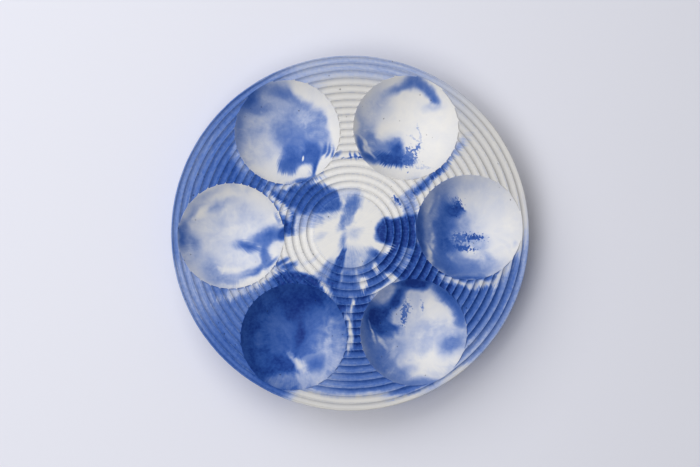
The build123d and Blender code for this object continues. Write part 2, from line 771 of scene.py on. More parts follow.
def pinhole_effect() -> bpy.types.NodeTree:
    """Makes the group that scatters the small round holes that air leaves in a casting or moulding.

    Returns:
        A group from Place, Spacing, Size and Share of cells with a hole to a Mask.
    """
    takes = {"Place": NOWHERE, "Spacing": 6.0, "Size": 0.5, "Share": 0.3}
    effect = Effect("Pinholes", takes, {"Mask": SocketKind.NUMBER})
    wiring, given = effect.wiring, effect.inputs
    probe = wiring.scaled(given["Place"], wiring.math("DIVIDE", 1.0, given["Spacing"]))
    cells = wiring.add("ShaderNodeTexVoronoi", {"Vector": probe, "Scale": 1.0}, voronoi_dimensions="3D")
    distance = wiring.math("MULTIPLY", cells.outputs["Distance"], given["Spacing"])
    chance = wiring.add("ShaderNodeSeparateColor", {0: cells.outputs["Color"]}).outputs
    size = wiring.math("MULTIPLY", given["Size"], wiring.math("MULTIPLY_ADD", chance["Green"], 0.7, 0.3))
    hole = wiring.ease(distance, size, wiring.math("MULTIPLY", size, 0.5))
    kept = wiring.math("LESS_THAN", chance["Red"], given["Share"])
    return effect.give(Mask=wiring.math("MULTIPLY", hole, kept))


def grain_effect() -> bpy.types.NodeTree:
    """Makes the group for a surface's fine tooth, with broad unevenness under it.

    Returns:
        A group from Place and the Fine and Broad sizes to a Height from 0 to 1.
    """
    takes = {"Place": NOWHERE, "Fine": 0.6, "Broad": 7.0, "Tooth": 0.5}
    effect = Effect("Grain", takes, {"Height": SocketKind.NUMBER})
    wiring, given = effect.wiring, effect.inputs
    fine_probe = wiring.scaled(given["Place"], wiring.math("DIVIDE", 1.0, given["Fine"]))
    broad_probe = wiring.scaled(given["Place"], wiring.math("DIVIDE", 1.0, given["Broad"]))
    fine = wiring.noise(fine_probe, detail=3.0, roughness=0.6).outputs[0]
    broad = wiring.noise(broad_probe, detail=2.0).outputs[0]
    return effect.give(Height=wiring.between(given["Tooth"], broad, fine))


class Edge(Enum):
    """How the edge of a pour runs."""

    PLAIN = "plain"
    CALM = "calm"
    SMOKY = "smoky"
    COMBED = "combed"
    FRINGED = "fringed"
    CRUMBLY = "crumbly"


@dataclass(frozen=True)
class EdgeStyle:
    """How far one kind of edge fades, and how far wisps fray it, in millimetres.

    Attributes:
        soft: Half the width that it fades over.
        ragged: How far the wisps reach.
        most_ragged: The most that they reach as a share of the patch's own half width.
    """

    soft: float
    ragged: float
    most_ragged: float = 0.9


EDGE_STYLES = {
    Edge.PLAIN: EdgeStyle(soft=1.0, ragged=0.0),
    Edge.CALM: EdgeStyle(soft=2.4, ragged=2.0),
    Edge.SMOKY: EdgeStyle(soft=7.0, ragged=5.0),
    Edge.COMBED: EdgeStyle(soft=2.4, ragged=3.5),
    Edge.FRINGED: EdgeStyle(soft=3.2, ragged=4.0),
    Edge.CRUMBLY: EdgeStyle(soft=0.9, ragged=9.0, most_ragged=1.8),
}


@dataclass(frozen=True)
class Ground:
    """What a kind of edge is drawn on: the moved place, and the wisps that fray it."""

    place: Socket
    wisp: Socket


@dataclass(frozen=True)
class Pour:
    """An oval patch of pigment, in millimetres and degrees, with tint from 0, white, to 1, deepest blue."""

    x: float
    y: float
    long: float
    wide: float
    turn: float
    tint: float
    edge: Edge = Edge.SMOKY
    soft: float = 1.0
    cover: float = 1.0

    MOST_FADE: ClassVar[float] = 0.95

    def lay(self, wiring: Wiring, group: bpy.types.NodeTree, tint: Feed, ground: Ground) -> Socket:
        """Adds this pour to a tree.

        Args:
            wiring: The material's wiring.
            group: The pour group.
            tint: The tint that lies below.
            ground: What this pour's kind of edge is drawn on.

        Returns:
            The tint with this pour laid over it.
        """
        style = EDGE_STYLES[self.edge]
        width = min(self.long, self.wide)
        fade = min(self.MOST_FADE, style.soft * self.soft / width)
        feeds = {
            "Tint": tint,
            "Place": ground.place,
            "Middle": (self.x, self.y, 0.0),
            "Turn": (0.0, 0.0, math.radians(self.turn)),
            "Size": (self.long, self.wide, 1.0),
            "Wisp": ground.wisp,
            "Ragged": min(style.most_ragged, style.ragged / width),
            "Fades From": 1.0 - fade,
            "Fades To": 1.0 + fade,
            "New Tint": self.tint,
            "Cover": self.cover,
        }
        return wiring.use(group, feeds).outputs["Tint"]


@dataclass(frozen=True)
class RingPour:
    """A patch of pigment between two angles and two radii about the plate's axis."""

    start: float
    end: float
    inner: float
    outer: float
    tint: float
    edge: Edge = Edge.COMBED
    soft_angle: float = 3.0
    soft: float = 3.0
    cover: float = 1.0

    def lay(self, wiring: Wiring, group: bpy.types.NodeTree, tint: Feed, ground: Ground) -> Socket:
        """Adds this pour to a tree, as Pour.lay does."""
        feeds = {
            "Tint": tint,
            "Place": ground.place,
            "Middle Angle": (self.start + self.end) / 2,
            "Half Angle": (self.end - self.start) / 2,
            "Soft Angle": self.soft_angle,
            "Inner": self.inner,
            "Outer": self.outer,
            "Soft": self.soft,
            "Wisp": ground.wisp,
            "Ragged": EDGE_STYLES[self.edge].ragged / self.soft,
            "New Tint": self.tint,
            "Cover": self.cover,
        }
        return wiring.use(group, feeds).outputs["Tint"]


@dataclass(frozen=True)
class Marbling:
    """Where the pigment lies: pours on the fluted field and pours in the bowls, in order of pouring."""

    field_pours: tuple[Pour | RingPour, ...] = (
        # Blue round the left of the plate, paler at the rim's top and lower left
        RingPour(104, 247, 62, 180, 0.71, soft_angle=8),
        RingPour(50, 112, 146, 180, 0.34, soft_angle=18, soft=8),
        RingPour(140, 186, 152, 180, 0.57, soft_angle=10, soft=6, cover=0.8),
        RingPour(184, 208, 140, 180, 0.46, soft_angle=6, soft=8, cover=0.85),
        RingPour(218, 246, 138, 180, 0.80, soft_angle=8, soft=9),
        RingPour(234, 249, 143, 162, 0.93, soft_angle=6, soft=6),
        RingPour(136, 164, 58, 136, 0.86, soft_angle=6, soft=14),
        Pour(-97, 64, 8, 4, 125, 0.30, cover=0.8),
        Pour(-104, 78, 7, 3, 105, 0.42, cover=0.8),
        Pour(-80, -41.5, 14, 2.6, 28, 0.30, Edge.FRINGED),
        Pour(-107, -54, 17, 4.5, 14, 0.30, Edge.FRINGED),
        # White along the bottom of the rim
        RingPour(249, 304, 156.5, 180, 0.03, Edge.CALM, soft_angle=3, soft=3),
        # Deep blue fading outwards, with one white streak, between the two lower bowls
        RingPour(247, 300, 104, 152, 0.75, soft_angle=5, soft=5),
        RingPour(253, 265, 122, 150, 0.50, soft_angle=5, soft=8, cover=0.8),
        RingPour(282, 304, 138, 161, 0.78, soft_angle=5, soft=3),
        RingPour(252, 287, 52, 116, 0.92, soft_angle=5, soft=10),
        Pour(-1, -68, 12, 1.9, 88, 0.04, Edge.COMBED, soft=0.6),
        Pour(-3.5, -90, 14, 1.8, 97, 0.10, Edge.COMBED, soft=0.6),
        Pour(-5, -106, 7, 2.4, 76, 0.28, Edge.COMBED),
        # Deep blue towards the lower right, breaking up near the rim
        RingPour(304, 346, 120, 161, 0.58, soft_angle=6, soft=5),
        RingPour(306, 346, 100, 147, 0.84, soft_angle=5, soft=10),
        RingPour(312, 347, 46, 114, 0.96, soft_angle=4, soft=8),
        Pour(88, -47, 9, 1.8, -30, 0.40, Edge.COMBED),
        RingPour(304, 320, 150, 156, 0.48, soft_angle=5, soft=2),
        Pour(101, -53, 13, 2.6, -14, 0.22, Edge.FRINGED),
        Pour(121, -54, 11, 3.2, 8, 0.14, Edge.FRINGED),
        Pour(138, -48, 12, 4, 62, 0.10, Edge.COMBED),
        RingPour(332, 366, 163, 180, 0.26, soft_angle=8, soft=2, cover=0.7),
        # Partly painted shade: this part of the outer rim is tinted deeper than its pigment, for its shade.
        RingPour(330, 355, 160.5, 180, 0.52, soft_angle=5, soft=2, cover=0.9),
        RingPour(324, 350, 153, 161, 0.74, soft_angle=5, soft=2),
        RingPour(318, 340, 146, 150, 0.80, soft_angle=5, soft=2),
        # Partly painted shade: this part of the outer rim is tinted deeper than its pigment, for its shade.
        RingPour(308, 338, 160.5, 180, 0.60, soft_angle=6, soft=1.5, cover=0.9),
        RingPour(291, 300, 160.5, 180, 0.42, soft_angle=3, soft=1.5, cover=0.8),
        # One long blue streak to the upper right, close along the bowl's rim
        Pour(57, 21, 7, 12, 0, 0.45, Edge.COMBED),
        Pour(52, 29.5, 11, 5, 25, 0.38, Edge.COMBED),
        Pour(67, 39, 12, 4, 36, 0.88, Edge.FRINGED),
        Pour(84, 54, 17, 3.4, 42, 0.90, Edge.FRINGED),
        Pour(102, 73, 14, 4, 48, 0.45, Edge.FRINGED, soft=1.4),
        Pour(44.5, 27, 5, 1.8, -48, 0.92, Edge.CRUMBLY),
        Pour(53, 19.5, 2.2, 1.0, 20, 0.8, Edge.CRUMBLY),
        # White beside the upper left bowl, and dashes between the two upper bowls
        Pour(-17, 61, 8, 9, 0, 0.03, Edge.COMBED),
        Pour(7, 69.6, 7, 0.8, 0, 0.95, Edge.CRUMBLY),
        Pour(2.5, 72, 3.2, 0.8, 85, 0.92, Edge.CALM),
        Pour(7.5, 72, 3, 1.2, 95, 0.85, Edge.CALM),
        Pour(11.5, 73, 3, 0.9, 110, 0.80, Edge.CALM),
        Pour(-9, 73, 3.5, 2.2, 20, 0.70, Edge.COMBED),
        # Blue arm from the left over the upper part of the middle disc
        Pour(-58, 36, 20, 10, -30, 0.89, Edge.CALM),
        Pour(-36, 29, 18, 15, -8, 0.89, Edge.CALM, soft=1.4),
        Pour(-22, 25, 15, 9, 2, 0.87, Edge.CALM, soft=1.4),
        Pour(-17, 31, 9, 10, -24, 0.86, Edge.CALM, soft=1.4),
        Pour(-30, 41, 13, 5, -12, 0.90, Edge.FRINGED),
        Pour(-44, 10, 10, 5, 10, 0.42),
        Pour(-28, 13.5, 12, 2.6, 0, 0.46),
        Pour(-44, 47, 14, 2.6, 14, 0.85, Edge.FRINGED),
        Pour(-58, 44.5, 9, 2.2, 10, 0.14, Edge.FRINGED),
        RingPour(76, 104, 30, 42, 0.26, soft_angle=3, soft=3, cover=0.8),
        Pour(8, 29, 4, 6, 10, 0.26),
        Pour(1, 25, 8, 3.8, 76, 0.76, soft=0.7),
        Pour(-2.5, 12, 7, 3.6, 72, 0.66),
        Pour(-4, 5, 7, 4, 30, 0.56),
        Pour(-6.5, -10, 7, 3, 76, 0.58),
        Pour(3, -4, 7, 4, 30, 0.26),
        Pour(-26, -2, 6, 3, 20, 0.22),
        # Blue at the right of the disc, with a sharp upper edge and pale streaks below
        RingPour(-82, -46, 35, 62, 0.86, soft_angle=3, soft=4),
        RingPour(-48, -14, 38, 62, 0.95, soft_angle=3, soft=4),
        RingPour(-20, 14, 34, 63, 0.98, Edge.CALM, soft_angle=2, soft=2.5),
        Pour(36, -1.5, 12.5, 13, 0, 0.98, Edge.CALM),
        RingPour(-38, -18, 54, 61, 0.50, soft_angle=3, soft=3, cover=0.8),
        Pour(34, -18, 4.5, 3, 40, 0.04, Edge.COMBED),
        Pour(23.5, -23, 8, 4.6, -36, 0.92, soft=0.6),
        Pour(16, -29, 5, 3.4, 30, 0.84, Edge.COMBED),
        Pour(21.5, -35.5, 4, 1.6, 112, 0.06, Edge.COMBED),
        Pour(37.5, -44.5, 6.5, 3, -28, 0.05, Edge.COMBED),
        Pour(28.5, -54, 11, 1.8, 33, 0.05, Edge.COMBED),
        Pour(10, -50, 7, 3.6, 95, 0.06, Edge.COMBED),
        # Blue wedge below the disc
        RingPour(230, 246, 32, 52, 0.60, soft_angle=4, soft=6, cover=0.9),
        RingPour(258, 276, 30, 62, 0.80, soft_angle=4, soft=7),
        Pour(2, -26, 11, 9, 0, 0.42, soft=1.3),
        RingPour(242, 257, 16, 65, 0.93, soft_angle=2.5, soft=4),
        Pour(-48, -47, 26, 10.5, -10, 0.97, Edge.CALM, soft=0.7),
        Pour(-24, -53, 8, 2.4, -58, 0.05, Edge.COMBED),
        # Blue between the disc and the left bowl
        RingPour(160, 182, 52, 66, 0.92, Edge.CALM, soft_angle=3, soft=2),
        RingPour(185, 205, 50, 72, 0.04, soft_angle=3, soft=3),
        Pour(-78, -38, 15, 2.6, 32, 0.12, Edge.FRINGED),
        Pour(-62, -27, 9, 4, 52, 0.05, Edge.FRINGED),
        Pour(-69, 43, 12, 3, -40, 0.50, Edge.FRINGED),
        Pour(-68.5, 30.5, 13, 2.4, -46, 0.14, Edge.FRINGED),
        Pour(-61, 19.5, 6, 3.4, -48, 0.12, Edge.FRINGED),
        Pour(-64, -27, 6, 2.2, 50, 0.90, Edge.CALM),
        Pour(-57.5, -30.5, 7, 2.4, 28, 0.90, Edge.CALM),
        Pour(-38, -26, 8, 1.5, 30, 0.18, Edge.COMBED),
    )
    bowl_pours: tuple[Pour, ...] = (
        # Upper left bowl: pale blue clouds with a white crescent and a deep patch
        Pour(-55.5, 96, 56, 56, 0, 0.30, Edge.PLAIN),
        Pour(-66, 62, 30, 17, -12, 0.05, soft=1.3),
        Pour(-80, 84, 14, 14, 30, 0.20, soft=1.2),
        Pour(-102, 102, 24, 6, 84, 0.56, soft=1.2),
        Pour(-86, 104, 12, 10, 60, 0.34),
        Pour(-89, 131, 15, 8, 40, 0.86),
        Pour(-79, 122, 12, 4, 10, 0.64),
        Pour(-72, 134, 8, 5, 20, 0.46),
        Pour(-56, 134, 14, 4.5, -10, 0.68),
        Pour(-44, 127, 11, 6, -42, 0.52),
        Pour(-58, 120, 16, 7, -8, 0.40),
        Pour(-38, 104, 22, 16, -25, 0.45, Edge.CALM, soft=2.2),
        Pour(-52, 99, 17, 16, -20, 0.56, soft=1.1),
        Pour(-52, 88, 11, 10, 0, 0.60, soft=1.1),
        Pour(-31, 96, 12, 9, 0, 0.50),
        Pour(-25, 103, 9, 16, 0, 0.52, Edge.CALM, soft=1.2),
        Pour(-38, 112, 11, 4, -60, 0.34),
        Pour(-33, 133, 24, 8.5, -38, 0.03, Edge.CALM, soft=1.7),
        Pour(-16, 117, 13, 5, -58, 0.03, Edge.CALM, soft=1.7),
        Pour(-9, 98, 22, 7, 96, 0.02, Edge.CALM, soft=1.5),
        Pour(-18, 69, 13, 7, 32, 0.02, Edge.FRINGED),
        Pour(-28, 58, 6, 10, 0, 0.02, Edge.FRINGED),
        Pour(-56, 68, 9.5, 10, -16, 0.82, Edge.FRINGED, soft=1.4),
        Pour(-46, 78, 16, 10, 14, 0.84, soft=0.6),
        Pour(-34, 78, 8.5, 10, -12, 0.86, Edge.CALM, soft=1.5),
        Pour(-32, 69, 3.5, 7, 0, 0.86, Edge.CALM),
        Pour(-47, 90, 5, 8, 0, 0.72),
        Pour(-40.5, 60.5, 5, 5.5, -10, 0.03, Edge.FRINGED),
        Pour(-42.5, 73, 2.6, 0.9, 80, 0.06, Edge.PLAIN, soft=0.5),
        Pour(-32, 60, 10, 1.7, 84, 0.93, Edge.CALM),
        Pour(-42, 50, 10, 2.4, 10, 0.85, Edge.FRINGED),
        Pour(-23, 81, 5, 1.8, 64, 0.84, Edge.CALM),
        Pour(-18.5, 78.5, 5, 1.5, 72, 0.78, Edge.CALM),
        Pour(-14, 76, 4.5, 1.4, 80, 0.74, Edge.CALM),
        Pour(-10.5, 73.5, 3, 1.6, 30, 0.74, Edge.CALM),
        # Upper right bowl: white with a soft blue arc at the top and a deep patch at the bottom
        # Painted shade in part: this veil on the upper left wall is deeper than its pigment, for the wall's
        # shade.
        Pour(29, 121, 18, 10, 50, 0.42, soft=1.3, cover=0.6),
        Pour(24, 108, 20, 6, 78, 0.26, soft=1.2),
        Pour(12, 100, 18, 3.5, 92, 0.34),
        Pour(37, 127, 10, 3.4, 34, 0.32, Edge.CALM, soft=2.0),
        Pour(49, 135, 8, 3.4, 28, 0.56, Edge.CALM, soft=1.8),
        Pour(60.5, 139, 9, 4.2, 4, 0.68, Edge.CALM, soft=1.8),
        Pour(70.5, 136.5, 8, 4.4, -26, 0.74, Edge.CALM, soft=1.8),
        Pour(78.5, 131, 8, 4.2, -48, 0.76, Edge.CALM, soft=1.8),
        Pour(84, 124, 6.5, 3.4, -70, 0.74, Edge.CALM, soft=1.8),
        Pour(82, 117, 8, 3, -6, 0.24),
        Pour(95, 70, 14, 6, 60, 0.09),
        Pour(22, 87, 13, 6.5, 112, 0.64),
        Pour(35, 80, 14, 8, 30, 0.60, soft=1.2),
        Pour(42, 69, 19, 7.5, -5, 0.94, Edge.FRINGED),
        Pour(46, 79, 7, 8, 12, 0.92, soft=0.7),
        Pour(56, 68, 5, 5, 0, 0.80, Edge.CRUMBLY),
        Pour(20, 70, 8, 5, -20, 0.88, Edge.CALM, soft=1.5),
        Pour(12.5, 79, 12, 2.2, 112, 0.80, Edge.CALM, soft=1.5),
        Pour(17.5, 81, 11, 1.4, 120, 0.28, Edge.CALM),
        Pour(60, 74, 4, 6, 20, 0.68, Edge.CRUMBLY, cover=0.9),
        Pour(67, 80, 6, 1.7, 62, 0.66, Edge.CRUMBLY),
        Pour(64, 89, 5, 1.0, -30, 0.30, Edge.CRUMBLY),
        Pour(69, 92, 7, 0.8, 100, 0.30, Edge.CRUMBLY),
        Pour(70, 59, 7, 1.6, -10, 0.22, Edge.CRUMBLY),
        Pour(56, 55, 0.9, 0.5, 60, 0.70, Edge.PLAIN, soft=0.5),
        # Left bowl: pale, with a white crescent, a dark wall and a blue hook from the right
        Pour(-111, 0, 56, 56, 0, 0.19, Edge.PLAIN),
        Pour(-120, 41, 34, 7, 4, 0.05),
        Pour(-82, 30, 20, 7, -42, 0.03),
        Pour(-72, 14, 12, 6, 110, 0.03),
        Pour(-140, 36, 20, 3, 24, 0.30),
        Pour(-126, 31, 18, 3, 14, 0.38),
        Pour(-148, 19, 12, 4, 50, 0.42),
        Pour(-139, 24, 11, 2.6, 34, 0.03, Edge.CALM, soft=1.4),
        Pour(-95, 24, 16, 8, -10, 0.22),
        Pour(-156, -2, 6, 14, 8, 0.86, soft=1.1),
        Pour(-148, -5, 7, 9, 0, 0.58),
        Pour(-150, -18, 8, 8, 0, 0.35),
        Pour(-132, -28, 12, 9, 100, 0.42),
        Pour(-121, -38, 18, 7, -18, 0.48),
        Pour(-104, -38, 12, 5, 22, 0.40),
        Pour(-118, -47, 20, 2.5, 0, 0.25),
        Pour(-110, -29, 10, 3.5, 0, 0.10),
        Pour(-90, -40, 20, 6, 32, 0.02, Edge.FRINGED),
        Pour(-73, -22, 16, 6, 68, 0.02),
        Pour(-93, -21, 10, 7, 20, 0.14),
        Pour(-78.5, -15, 14, 3.8, 94, 0.75),
        Pour(-88, -30, 11, 4, 25, 0.78),
        Pour(-99, -31, 6, 2.5, 10, 0.50),
        Pour(-76, 0, 10, 6, 20, 0.86, soft=0.8),
        Pour(-64, 0, 7, 6, 0, 0.92, Edge.CALM),
        Pour(-86, -4, 8, 4, -10, 0.74),
        Pour(-97, -8.5, 11, 4, -20, 0.86, Edge.FRINGED),
        Pour(-73, -26, 6, 2.4, 45, 0.75, soft=0.8),
        Pour(-67, 15, 6, 1.5, 120, 0.50, Edge.FRINGED),
        # Right bowl: white, with a deep cloud on the left and a soft crescent below
        Pour(111, 0, 56, 56, 0, 0.05, Edge.PLAIN),
        # Painted shade: this pour tints the upper wall, where the white lies in shade.
        Pour(106, 43, 26, 9, 0, 0.42, soft=1.3, cover=0.5),
        Pour(136, 28, 18, 12, -45, 0.18, soft=1.2, cover=0.6),
        Pour(116, 10, 12, 16, 0, 0.20, soft=1.3),
        Pour(86, 32, 16, 8, 48, 0.54, soft=1.2),
        Pour(66, 4, 30, 7, 94, 0.66),
        Pour(92, -4, 15, 26, 4, 0.76, soft=1.3),
        Pour(86, -14, 8, 14, 4, 0.93, soft=1.1),
        Pour(85, 8, 6, 14, -6, 0.84),
        Pour(97, 18, 9, 9, 0, 0.92, soft=0.6),
        Pour(102, 21, 4.5, 6, 0, 0.92, Edge.CRUMBLY),
        Pour(107, 6, 5, 9, 0, 0.46),
        Pour(107, -8, 10, 7, -8, 0.46, soft=0.9),
        Pour(122, -12, 8, 6, -30, 0.44),
        Pour(104, -7, 9, 4, -4, 0.90, Edge.CRUMBLY, cover=0.8),
        Pour(116, -7, 8, 3.2, -6, 0.92, Edge.CRUMBLY),
        Pour(103, -16.5, 10, 2.4, -8, 0.88, Edge.CRUMBLY),
        # Painted shade: these three white lines on the left wall are tinted blue for the wall's shade.
        Pour(77, 17, 13, 2.0, 60, 0.56, Edge.CALM, soft=1.8),
        Pour(73.5, -3, 12, 2.0, 94, 0.54, Edge.CALM, soft=1.6),
        Pour(78.5, -26, 12, 1.5, 112, 0.62, Edge.CALM, soft=1.6),
        Pour(65, -7, 24, 4.2, 96, 0.92, Edge.CALM, soft=1.8),
        Pour(106, -37.5, 27, 10, -4, 0.64, soft=1.2),
        Pour(90, -34, 16, 7, -40, 0.82),
        Pour(108, -48, 22, 3, 0, 0.86),
        Pour(126, -29, 8, 6, 60, 0.48),
        Pour(115, -23.5, 11, 3.5, -4, 0.22, soft=0.8),
        Pour(101, -25, 12, 4, -24, 0.58),
        Pour(142, -18, 9, 2, -50, 0.12),
        Pour(151, -17, 3, 2, 90, 0.22),
        # Lower left bowl: deep blue with pale wisps
        Pour(-55.5, -96, 56, 56, 0, 0.93, Edge.PLAIN),
        Pour(-70, -88, 18, 20, 0, 0.84),
        Pour(-36, -98, 18, 24, 0, 0.72, soft=1.6),
        Pour(-36, -82, 14, 9, 40, 0.83),
        Pour(-52, -92, 5, 14, -4, 1.0),
        Pour(-45, -62, 22, 10, 20, 0.98),
        Pour(-30, -118, 20, 13, 25, 0.46),
        Pour(-51, -138, 18, 8, -4, 0.46, soft=1.2),
        Pour(-36, -137, 17, 9, 14, 0.40),
        Pour(-16, -104, 13, 26, 4, 0.52, soft=1.4),
        Pour(-24, -105, 20, 2.8, 84, 0.36, Edge.CALM, soft=2.4),
        Pour(-19, -119, 14, 5, 66, 0.36, Edge.CALM, soft=2.6),
        Pour(-37, -123, 6.5, 5.5, 0, 0.82),
        Pour(-50, -123, 9, 3.4, 128, 0.14, soft=0.9),
        Pour(-57, -117, 6, 2.2, 125, 0.44),
        Pour(-53, -130, 8, 3, -20, 0.40),
        # Lower right bowl: pale, with deep blue at the upper left and along the top
        Pour(55.5, -96, 56, 56, 0, 0.19, Edge.PLAIN),
        Pour(66, -97, 20, 13, 20, 0.29),
        Pour(78, -76, 14, 12, -30, 0.08),
        Pour(68, -124, 26, 10, 20, 0.03),
        Pour(54, -62, 13, 5, 10, 0.24),
        Pour(43, -77, 8, 10, 0, 0.26),
        Pour(14, -104, 22, 9, 92, 0.72, soft=1.2),
        Pour(26, -118, 15, 12, 55, 0.70),
        Pour(38, -110, 12, 8, 60, 0.46),
        Pour(32, -132, 18, 7, -38, 0.74),
        Pour(40, -134, 13, 6, 20, 0.56),
        Pour(48, -146, 26, 4.0, 6, 0.66, soft=1.1),
        Pour(74, -144.5, 18, 2.4, 14, 0.64),
        Pour(93, -107, 12, 10, 25, 0.62, soft=0.9),
        Pour(92, -97, 9, 4, 0, 0.28),
        Pour(98.5, -80, 16, 5.5, -68, 0.76, soft=0.8),
        Pour(86.5, -63, 18, 6.5, -48, 0.90, soft=0.8),
        Pour(57, -49.5, 21, 6, -2, 0.99, Edge.CALM, soft=1.3),
        Pour(21, -79, 12, 16, -8, 0.98, soft=1.0),
        Pour(26, -92, 9, 7, 0, 0.95),
        Pour(36, -88, 8, 4, -32, 0.92, soft=0.6),
        Pour(31, -74, 10, 6, 48, 0.98, soft=0.8),
        Pour(40, -63, 14, 6, 48, 0.97, Edge.CALM, soft=1.6),
        # Painted shade: this white patch on the upper left wall is tinted blue for the wall's shade.
        Pour(30, -59, 9, 5.5, 38, 0.40, Edge.CALM, soft=1.2),
        Pour(17, -94, 8, 1.4, 100, 0.30),
        Pour(24, -103, 7, 1.4, 110, 0.30),
        Pour(48, -76, 9, 3.0, 80, 0.72, Edge.CRUMBLY),
        Pour(51, -69, 4, 1.6, -20, 0.60, Edge.CRUMBLY),
        Pour(65, -71, 3.4, 1.0, 100, 0.68, Edge.CRUMBLY),
    )


def terrace_effect() -> bpy.types.NodeTree:
    """Makes the group that turns the place a little in each flute, so that edges step at the crests.

    Returns:
        A group from Place, the flutes' Start and Pitch and the largest Turn to a turned Place.
    """
    takes = {"Place": NOWHERE, "Start": 30.0, "Pitch": 7.0, "Turn": 1.0}
    effect = Effect("Terrace", takes, {"Place": SocketKind.VECTOR})
    wiring, given = effect.wiring, effect.inputs
    beyond = wiring.math("SUBTRACT", wiring.measure("LENGTH", given["Place"]), given["Start"])
    pitches = wiring.math("DIVIDE", beyond, given["Pitch"])
    number = wiring.math("FLOOR", wiring.math("MAXIMUM", pitches, -1.0))
    chance = wiring.add("ShaderNodeTexWhiteNoise", {"W": number}, noise_dimensions="1D").outputs["Value"]
    turn = wiring.math("MULTIPLY", wiring.centred(chance), given["Turn"])
    feeds = {"Vector": given["Place"], "Angle": wiring.math("RADIANS", turn)}
    turned = wiring.add("ShaderNodeVectorRotate", feeds, rotation_type="Z_AXIS").outputs[0]
    return effect.give(Place=turned)


# How many wavers and breaks the crests' lines of wear and painted highlight have per millimetre
CREST_WAVER_FINENESS = 0.12
CREST_BREAK_FINENESS = 0.3


def crest_effect() -> bpy.types.NodeTree:
    """Makes the group that finds the flutes' crests, where pigment wears off and a painted highlight lies,
    in broken lines.

    Returns:
        A group from a flat Place, the flutes' Start and Pitch and the lines' Width to a Mask.
    """
    takes = {"Place": NOWHERE, "Start": 30.0, "Pitch": 7.0, "Width": 1.0}
    effect = Effect("Crests And Highlight", takes, {"Mask": SocketKind.NUMBER})
    wiring, given = effect.wiring, effect.inputs
    waver = wiring.noise(wiring.scaled(given["Place"], CREST_WAVER_FINENESS), flat=True).outputs[0]
    radius = wiring.math("ADD", wiring.measure("LENGTH", given["Place"]), waver)
    beyond = wiring.math("SUBTRACT", radius, given["Start"])
    apart = wiring.math("PINGPONG", beyond, wiring.math("MULTIPLY", given["Pitch"], 0.5))
    line = wiring.ease(apart, given["Width"], 0.0)
    probe = wiring.scaled(given["Place"], CREST_BREAK_FINENESS)
    broken = wiring.noise(probe, detail=3.0, roughness=0.65, flat=True).outputs[0]
    on_flutes = wiring.math("GREATER_THAN", beyond, wiring.math("MULTIPLY", given["Width"], -1.0))
    whole = wiring.math("MULTIPLY", wiring.ease(broken, 0.35, 0.65), on_flutes)
    return effect.give(Mask=wiring.math("MULTIPLY", line, whole))


# Share of the sector's half angle within which the pooled pigment and painted shade are at full strength
POOL_AND_SHADE_CORE = 0.4


def pool_and_shade_effect() -> bpy.types.NodeTree:
    """Makes the group for pigment that ran down in each flute while the mould stood tilted, with painted
    shade and highlight on each flute's two walls.

    Returns:
        A group from Place, the flutes' Start and Pitch and the Middle and Half Angle of the sector in which
        it ran to a Depth, from 1 at a flute's inner edge to -1 at its outer edge. A positive Depth darkens
        a flute's inner wall as painted shade, and a negative one lightens its outer wall as painted
        highlight.
    """
    takes = {"Place": NOWHERE, "Start": 30.0, "Pitch": 7.0, "Middle Angle": 0.0, "Half Angle": 60.0}
    effect = Effect("Pool And Painted Shade", takes, {"Depth": SocketKind.NUMBER})
    wiring, given = effect.wiring, effect.inputs
    beyond = wiring.math("SUBTRACT", wiring.measure("LENGTH", given["Place"]), given["Start"])
    share = wiring.math("FRACT", wiring.math("DIVIDE", beyond, given["Pitch"]))
    slope = wiring.centred(share, -1.0)
    apart = wiring.degrees_apart(given["Place"], given["Middle Angle"])
    full_angle = wiring.math("MULTIPLY", given["Half Angle"], POOL_AND_SHADE_CORE)
    ran = wiring.ease(apart, given["Half Angle"], full_angle)
    on_flutes = wiring.math("GREATER_THAN", beyond, 0.0)
    return effect.give(Depth=wiring.math("MULTIPLY", slope, wiring.math("MULTIPLY", ran, on_flutes)))


# How far outside a bowl's sphere its own pours end, and over what width, in millimetres
BOWL_MARGIN = 0.1
BOWL_FADE = 0.2


def bowl_frame_effect(plate: CastPlate) -> bpy.types.NodeTree:
    """Makes the group that finds the nearest bowl of a place.

    Args:
        plate: The casting, for the bowls' sizes.

    Returns:
        A group from Place to the Spoke from that bowl's middle, and In Bowl, 1 on the bowl's surface.
    """
    gives = {"Spoke": SocketKind.VECTOR, "In Bowl": SocketKind.NUMBER}
    effect = Effect("Bowl Frame", {"Place": NOWHERE}, gives)
    wiring, given = effect.wiring, effect.inputs
    step = math.tau / plate.bowl_count
    towards = wiring.math("SNAP", wiring.math("ADD", wiring.compass(given["Place"]), step / 2), step)
    circle = plate.bowl_circle_radius / MM
    x = wiring.math("MULTIPLY", wiring.math("COSINE", towards), circle)
    y = wiring.math("MULTIPLY", wiring.math("SINE", towards), circle)
    ball = wiring.add("ShaderNodeCombineXYZ", {"X": x, "Y": y, "Z": plate.bowl_level / MM}).outputs[0]
    apart = wiring.vector("SUBTRACT", given["Place"], ball)
    just_outside = plate.bowl_radius / MM + BOWL_MARGIN
    inside = wiring.ease(wiring.measure("LENGTH", apart), just_outside + BOWL_FADE, just_outside)
    spoke = wiring.vector("MULTIPLY", apart, SEEN_FROM_ABOVE)
    return effect.give(Spoke=spoke, In_Bowl=inside)


def open_material(name: str) -> tuple[bpy.types.Material, Wiring, bpy.types.Node, Socket]:
    """Starts a material on Object coordinates.

    Args:
        name: The material's name.

    Returns:
        The material, its wiring, its Principled BSDF and the place in millimetres.
    """
    finish = bpy.data.materials.new(name)
    finish.use_nodes = True
    wiring = Wiring(finish.node_tree)
    shader = finish.node_tree.nodes["Principled BSDF"]
    where = wiring.add("ShaderNodeTexCoord").outputs["Object"]
    return finish, wiring, shader, wiring.scaled(where, 1 / MM)


